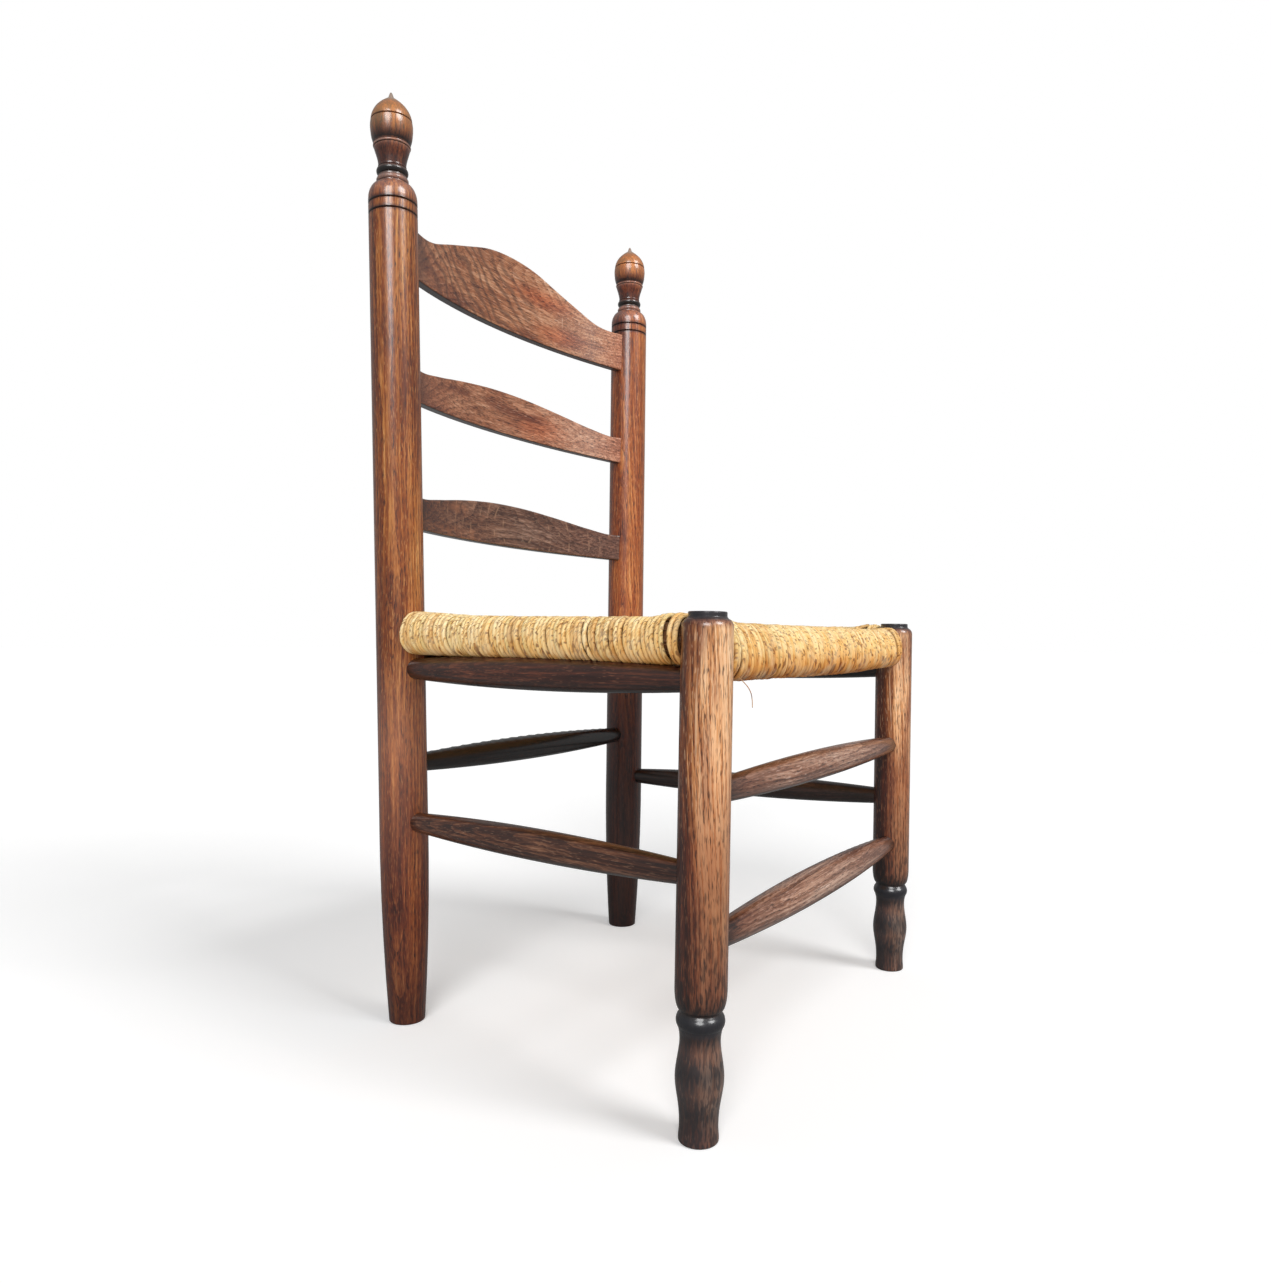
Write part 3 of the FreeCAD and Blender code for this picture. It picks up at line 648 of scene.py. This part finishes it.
def twisted_rush(name, along, slant):
    """Dry, matt rush whose strands lie side by side along one axis of the seat."""
    material, tree = blank_material(name)
    place = add(tree, "ShaderNodeTexCoord", out="Object")
    split = add(tree, "ShaderNodeSeparateXYZ", {"Vector": place}).outputs
    strand_tone = add(tree, "ShaderNodeAttribute", out="Fac", attribute_name="strand_tone")
    leaf = leaf_place(tree, split, along, slant, strand_tone)
    fibres = {"Vector": leaf, "Scale": per(1.7), "Detail": 2.0, "Roughness": 0.6}
    fibre = add(tree, "ShaderNodeTexNoise", fibres, "Fac")

    leaf_tone = add(tree, "ShaderNodeValToRGB", {"Fac": strand_tone}, "Color", LEAF_TONES)
    streak = add(tree, "ShaderNodeValToRGB", {"Fac": fibre}, "Color", STREAKS)
    layers = {"Factor": 0.9, "A": leaf_tone, "B": streak}
    streaked = add(tree, "ShaderNodeMix", layers, "Result", data_type="RGBA", blend_type="MULTIPLY")
    blown = {"Vector": leaf, "Scale": (1.6, 4.5, 1), "Location": (0.3, 0, 0)}
    short = add(tree, "ShaderNodeMapping", blown, "Vector")
    breaks = add(tree, "ShaderNodeTexNoise", {"Vector": short, "Scale": per(2.6), "Detail": 1.0}, "Fac")
    dashed = tint_where(tree, streaked, "#6e3410", (breaks, 0.58, 0.65), most=0.7)

    # Painted shade: the rush is darker and browner low on the roll
    limits = {"Value": split["Z"], "From Min": ROLL_BOTTOM, "From Max": ROLL_TOP}
    height = add(tree, "ShaderNodeMapRange", limits, "Result")
    brown = add(tree, "ShaderNodeValToRGB", {"Fac": height}, "Color", LOW_ROLL_SHADE)
    layers = {"Factor": 1.0, "A": dashed, "B": brown}
    shaded_roll = add(tree, "ShaderNodeMix", layers, "Result", data_type="RGBA", blend_type="MULTIPLY")
    mottle = add(tree, "ShaderNodeTexNoise", {"Vector": place, "Scale": per(16), "Detail": 2.0}, "Fac")
    worn = tint_where(tree, shaded_roll, "#efd9b0", (mottle, 0.4, 0.7), most=0.35)

    bump = add(tree, "ShaderNodeBump", {"Height": fibre, "Strength": 0.8, "Distance": mm(0.6)}, "Normal")
    dry = {"Base Color": worn, "Roughness": 0.6, "Normal": bump, "IOR": 1.45}
    shader = add(tree, "ShaderNodeBsdfPrincipled", dry, "BSDF")
    add(tree, "ShaderNodeOutputMaterial", {"Surface": shader})
    return material


rush_x = twisted_rush("twisted_rush_cross", "X", 0.6)
rush_y = twisted_rush("twisted_rush_side", "Y", 0.35)
print("rush for the front and back:", rush_x.name, "and for the sides:", rush_y.name)

# %% [markdown]
# ## Winding the seat
# The weaver takes the strand over a rail, round it, back under the seat and up again, one corner after
# another. So each strand is a long hairpin: out from the mitre line over the top, round the rail, and
# back in below. A curve with a round bevel makes each one, and a field of them becomes one mesh.
# Points are close together round the rail, where the strand bends, and far apart on the flat.
# The strands lean a little round the roll, crowd unevenly, and pile up where a field ends at a leg.
# The bridge is the short line in the middle where the front and back fields meet. BRIDGE is half of it.


# %% Path of one strand
STRAND = mm(5.2)
BRIDGE = mm(32.0)
PAD_TOP = mm(424.0)
PAD_BOTTOM = mm(400.0)
TUCK = mm(5.0)
FLAT_STEPS = 5
TURN_STEPS = 15


def swell(at, bumps):
    """Extra thickness of the roll at one place, from (place, height, reach) bumps along the rail."""
    return sum(height * math.exp(-(((at - centre) / reach) ** 2)) for centre, height, reach in bumps)


def hairpin(at, rail):
    """Inward distance and height of each point of one strand, from its tucked end to its other one."""
    slope = rail["depth"] / (rail["half"] - BRIDGE)
    reach = min(rail["depth"], (rail["half"] - abs(at)) * slope)
    # A pile-up of strands grows a little less outward than upward
    width = rail["width"] + swell(at, rail["bumps"]) * 0.8
    middle = rail["middle"]
    crest = middle + rail["height"] + swell(at, rail["bumps"])
    keel = middle - rail["height"] + swell(at, rail["tucks"])
    points = []
    for step in range(FLAT_STEPS):
        inward = reach * (1 - step / FLAT_STEPS)
        fall = (crest - PAD_TOP + STRAND / 2) * inward / rail["depth"]
        dive = TUCK if step == 0 else 0.0
        points.append((inward, crest - fall - dive))
    for step in range(TURN_STEPS + 1):
        angle = math.pi / 2 + math.pi * step / TURN_STEPS
        tall = crest - middle if step * 2 < TURN_STEPS else middle - keel
        points.append((width * math.cos(angle), middle + tall * math.sin(angle)))
    for step in range(1, FLAT_STEPS + 1):
        inward = reach * step / FLAT_STEPS
        rise = (PAD_BOTTOM - STRAND / 2 - keel) * inward / rail["depth"]
        dive = TUCK if step == FLAT_STEPS else 0.0
        points.append((inward, keel + rise + dive))
    return points


# %% A hand-wound strand
WOBBLE = mm(0.7)
SLUMP = mm(1.2)
FREE_FROM_ENDS = mm(25)
ROLL_REACH = mm(20)


def strand_path(at, rail):
    """One hairpin as inward distance, distance along the rail and height, with a hand's wander."""
    points = hairpin(at, rail)
    drift = random.uniform(-1, 1) * WOBBLE * 0.5
    proud = random.uniform(-1, 1) * WOBBLE * 0.7
    phase = random.uniform(0, 6.28)
    free = min(1.0, min(at - rail["first"], rail["last"] - at) / FREE_FROM_ENDS)
    slump = random.uniform(-1, 1) * SLUMP * free
    path = []
    for order, (inward, z) in enumerate(points):
        above = z - rail["middle"]
        side = max(-1.0, min(1.0, above / rail["height"]))
        if inward >= ROLL_REACH:
            side = 1.0 if above > 0 else -1.0
        sway = WOBBLE * 0.36 * math.sin(phase + order * 0.55)
        leaning = rail["lean"] * side * free + slump * max(0.0, -side)
        path.append((inward - proud, at + drift + sway + leaning, z))
    return path


# %% [markdown]
# ## From curves to meshes
# A curve's bevel gives a round tube, which is turned into a mesh. Its caps are welded shut, and every
# tube is given one random tone, which the rush material reads.


# %% Curves, meshes and tones
def round_curve(name, radius):
    curve = bpy.data.curves.new(name, "CURVE")
    curve.dimensions = "3D"
    curve.bevel_depth = radius
    curve.bevel_resolution = 1
    curve.use_fill_caps = True
    return curve


def tidy_strands(mesh):
    """Welds the end caps, smooths the tubes and stores one random tone for each strand."""
    shape = bmesh.new()
    shape.from_mesh(mesh)
    bmesh.ops.remove_doubles(shape, verts=shape.verts, dist=mm(0.005))
    bmesh.ops.recalc_face_normals(shape, faces=shape.faces)
    tone = shape.verts.layers.float.new("strand_tone")
    seen = set()
    shape.verts.ensure_lookup_table()
    for start in shape.verts:
        if start.index in seen:
            continue
        value = random.random()
        stack = [start]
        seen.add(start.index)
        while stack:
            vert = stack.pop()
            vert[tone] = value
            for edge in vert.link_edges:
                other = edge.other_vert(vert)
                if other.index not in seen:
                    seen.add(other.index)
                    stack.append(other)
    # The end caps have more corners than the sides, and stay flat
    for face in shape.faces:
        face.smooth = len(face.verts) <= 4
    shape.to_mesh(mesh)
    shape.free()


def rush_piece(name, curve, material):
    """Turns a curve into a finished mesh piece that stands for the solid seat."""
    holder = bpy.data.objects.new(name + "_curve", curve)
    bpy.context.collection.objects.link(holder)
    graph = bpy.context.evaluated_depsgraph_get()
    mesh = bpy.data.meshes.new_from_object(holder.evaluated_get(graph))
    bpy.data.objects.remove(holder)
    mesh.name = name
    tidy_strands(mesh)
    mesh.materials.clear()
    mesh.materials.append(material)
    piece = bpy.data.objects.new(name, mesh)
    bpy.context.collection.objects.link(piece)
    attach(piece, "root")
    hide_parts("rush_seat")
    print(name, "has", len(mesh.polygons), "faces")
    return piece


# %% Wind one field
PITCH = mm(4.9)


def wind(name, rail, origin, outward, sideways, material):
    """Winds one field as a single mesh piece. Its gaps are strands left out, counted from either end."""
    curve = round_curve(name, STRAND / 2)
    count = int((rail["last"] - rail["first"]) / PITCH)
    pitch = (rail["last"] - rail["first"]) / count
    for index in range(count):
        if index in rail["gaps"] or index - count in rail["gaps"]:
            continue
        at = rail["first"] + pitch * (index + 0.5 + random.uniform(-0.2, 0.2))
        path = strand_path(at, rail)
        spline = curve.splines.new("POLY")
        spline.points.add(len(path) - 1)
        thick = random.uniform(0.86, 1.08)
        for point, (inward, side, z) in zip(spline.points, path):
            place = origin - Vector(outward) * inward + Vector(sideways) * side
            point.co = (place.x, place.y, z + rail["rise"] * side, 1.0)
            point.radius = thick * random.uniform(0.92, 1.08)
    return rush_piece(name, curve, material)


# %% The front and back fields
CROSS = {"width": mm(12.25), "height": mm(23.25), "rise": 0.0}
front_end = LEG_X - mm(19)
front_rail = dict(
    CROSS,
    middle=mm(402),
    half=LEG_X,
    depth=MIDDLE_Y - LEG_Y,
    first=-front_end,
    last=front_end,
    lean=mm(-7.0),
    bumps=[(-front_end, mm(5.0), mm(24)), (front_end, mm(3.0), mm(20))],
    tucks=[(front_end, mm(5.0), mm(110))],
    gaps=(2, -3),
)
back_end = POST_X - mm(23)
back_rail = dict(
    CROSS,
    middle=mm(407),
    half=POST_X,
    depth=POST_Y - MIDDLE_Y,
    first=-back_end,
    last=back_end,
    lean=mm(4.0),
    bumps=[(-back_end, mm(2.0), mm(24)), (back_end, mm(2.0), mm(24))],
    tucks=[],
    gaps=(),
)
wind("rush_front", front_rail, Vector((0, LEG_Y, 0)), (0, -1, 0), (1, 0, 0), rush_x)
wind("rush_back", back_rail, Vector((0, POST_Y, 0)), (0, 1, 0), (1, 0, 0), rush_x)

# %% The side fields
SIDE = {"width": mm(14.75), "height": mm(18.5)}
RAIL_X = (LEG_X + POST_X) / 2
for side, sign in (("right", -1), ("left", 1)):
    along = Vector((sign * (POST_X - LEG_X), POST_Y - LEG_Y, 0))
    half = along.length / 2
    along.normalize()
    outward = Vector((sign * along.y, -sign * along.x, 0))
    first, last = -half + mm(18), half - mm(23)
    rail = dict(
        SIDE,
        middle=mm(414),
        half=half,
        depth=RAIL_X - BRIDGE,
        first=first,
        last=last,
        rise=mm(7.0) / (2 * half),
        lean=mm(-2.5) * sign,
        bumps=[(first + mm(12), mm(4.0), mm(14)), (last, mm(4.5), mm(70))],
        tucks=[],
        gaps=(2,),
    )
    wind(f"rush_{side}", rail, Vector((sign * RAIL_X, MIDDLE_Y, 0)), outward, along, rush_y)


# %% [markdown]
# ## One loose fibre
# A single fibre has worked loose under the front roll and hangs beside the near leg. It is a thin curve
# of five points, since a strand of the field would be too thick and too regular.

# %% Loose fibre
FIBRE = ((-203, -216, 382), (-196, -219, 376), (-187, -220, 370), (-181, -220, 362), (-179, -219, 353))
fibre_curve = round_curve("rush_loose_fibre", mm(0.4))
fibre_line = fibre_curve.splines.new("NURBS")
fibre_line.points.add(len(FIBRE) - 1)
for point, place in zip(fibre_line.points, FIBRE):
    point.co = (*(mm(value) for value in place), 1.0)
fibre_line.order_u = 3
fibre_line.use_endpoint_u = True
rush_piece("rush_loose_fibre", fibre_curve, rush_x)

# %% [markdown]
# ## Straw inside the seat
# The pads of straw are out of sight between the two layers. They keep their solids, and one stretched
# noise is enough to dress them.

# %% Dress the stuffing
def loose_straw(name):
    """Dull chopped straw, brown in its depths and yellow on its stalks."""
    material, tree = blank_material(name)
    place = add(tree, "ShaderNodeTexCoord", out="Object")
    flat = add(tree, "ShaderNodeMapping", {"Vector": place, "Scale": (0.1, 1, 1)}, "Vector")
    stalk = add(tree, "ShaderNodeTexNoise", {"Vector": flat, "Scale": per(3), "Detail": 3.0}, "Fac")
    stops = ((0.35, "#4a3218"), (0.65, "#9a7440"))
    tone = add(tree, "ShaderNodeValToRGB", {"Fac": stalk}, "Color", stops)
    bump = add(tree, "ShaderNodeBump", {"Height": stalk, "Distance": mm(1)}, "Normal")
    dull = {"Base Color": tone, "Roughness": 0.8, "Normal": bump}
    shader = add(tree, "ShaderNodeBsdfPrincipled", dull, "BSDF")
    add(tree, "ShaderNodeOutputMaterial", {"Surface": shader})
    return material


dress("rush_stuffing", loose_straw("loose_straw"))
print("dressed the straw")

# %% [markdown]
# ## Floor, light and camera
# The floor is one large pale plane. The camera sees a little glow added to it, so that it stays white
# while the chair's shadow still shows. The varnish mirrors a grey floor, as a bright one would veil the
# dark wood. The sky is white to the camera alone, and dim as a light. The lamps stay plain and soft.


# %% Floor
FLOOR_GLOW = 0.18
FLOOR_SIZE = 60.0


def pale_floor(name):
    """Matt pale paint, a little brighter to the camera and darker in mirrors."""
    material, tree = blank_material(name)
    ray = add(tree, "ShaderNodeLightPath").outputs
    layers = {"Factor": ray["Is Camera Ray"], "A": grey(0.8), "B": grey(0.95)}
    paint = add(tree, "ShaderNodeMix", layers, "Result", data_type="RGBA")
    layers = {"Factor": ray["Is Glossy Ray"], "A": paint, "B": grey(0.25)}
    shown = add(tree, "ShaderNodeMix", layers, "Result", data_type="RGBA")
    matt = add(tree, "ShaderNodeBsdfDiffuse", {"Color": shown}, "BSDF")
    seen = {0: ray["Is Camera Ray"], 1: FLOOR_GLOW}
    strength = add(tree, "ShaderNodeMath", seen, "Value", operation="MULTIPLY")
    glow = add(tree, "ShaderNodeEmission", {"Color": grey(1.0), "Strength": strength}, "Emission")
    both = add(tree, "ShaderNodeAddShader", {0: matt, 1: glow}, "Shader")
    add(tree, "ShaderNodeOutputMaterial", {"Surface": both})
    return material


sheet = bmesh.new()
bmesh.ops.create_grid(sheet, x_segments=1, y_segments=1, size=FLOOR_SIZE)
floor_mesh = bpy.data.meshes.new("floor")
sheet.to_mesh(floor_mesh)
sheet.free()
floor_mesh.materials.append(pale_floor("pale_floor"))
floor = bpy.data.objects.new("floor", floor_mesh)
bpy.context.collection.objects.link(floor)
print("floor is", FLOOR_SIZE * 2, "m wide")

# %% Sky
SKY_LIGHT = 0.28
world = bpy.data.worlds.new("studio")
bpy.context.scene.world = world
world.use_nodes = True
sky = world.node_tree
sky.nodes.clear()
seen = add(sky, "ShaderNodeLightPath", out="Is Camera Ray")
level = add(sky, "ShaderNodeMapRange", {"Value": seen, "To Min": SKY_LIGHT, "To Max": 1.0}, "Result")
air = add(sky, "ShaderNodeBackground", {"Color": grey(1.0), "Strength": level}, "Background")
add(sky, "ShaderNodeOutputWorld", {"Surface": air})
print("sky gives", SKY_LIGHT, "of white")


# %% Lamps
def soft_sun(name, place, target, power, spread):
    """A broad lamp far away, which shines from a place toward a target. The spread is in degrees."""
    light = bpy.data.lights.new(name, "SUN")
    light.energy = power
    light.angle = math.radians(spread)
    holder = bpy.data.objects.new(name, light)
    bpy.context.collection.objects.link(holder)
    aim = Vector(target) - Vector(place)
    turn = aim.to_track_quat("-Z", "Y").to_matrix().to_4x4()
    holder.matrix_world = Matrix.Translation(Vector(place)) @ turn
    print(name, "lamp shines from", place)


soft_sun("key", (0.1, -2.0, 1.95), (0, 0, 0.4), 1.75, 26)
soft_sun("fill", (-2.3, -1.1, 2.0), (-0.1, 0, 0.5), 1.75, 30)

# %% Camera
EYE = Vector((-0.9108, -0.5787, 0.4079))
YAW, PITCH_UP, ROLL = math.radians(33.412), math.radians(0.1905), math.radians(0.2389)
FOCAL_PIXELS = 922.67
FRAME_HEIGHT = 1283
SENSOR = 36.0
flat = math.cos(PITCH_UP)
forward = Vector((math.cos(YAW) * flat, math.sin(YAW) * flat, math.sin(PITCH_UP)))
level_right = Vector((math.sin(YAW), -math.cos(YAW), 0))
level_up = level_right.cross(forward)
right = level_right * math.cos(ROLL) + level_up * math.sin(ROLL)
up = right.cross(forward)
lens = bpy.data.cameras.new("camera")
lens.sensor_width = SENSOR
lens.lens = SENSOR * FOCAL_PIXELS / FRAME_HEIGHT
lens.clip_start = 0.01
camera = bpy.data.objects.new("camera", lens)
bpy.context.collection.objects.link(camera)
camera.matrix_world = Matrix((right, up, -forward)).transposed().to_4x4()
camera.location = EYE
bpy.context.scene.camera = camera
bpy.context.scene.view_settings.view_transform = "Standard"
print("camera at", tuple(EYE), "lens", lens.lens)
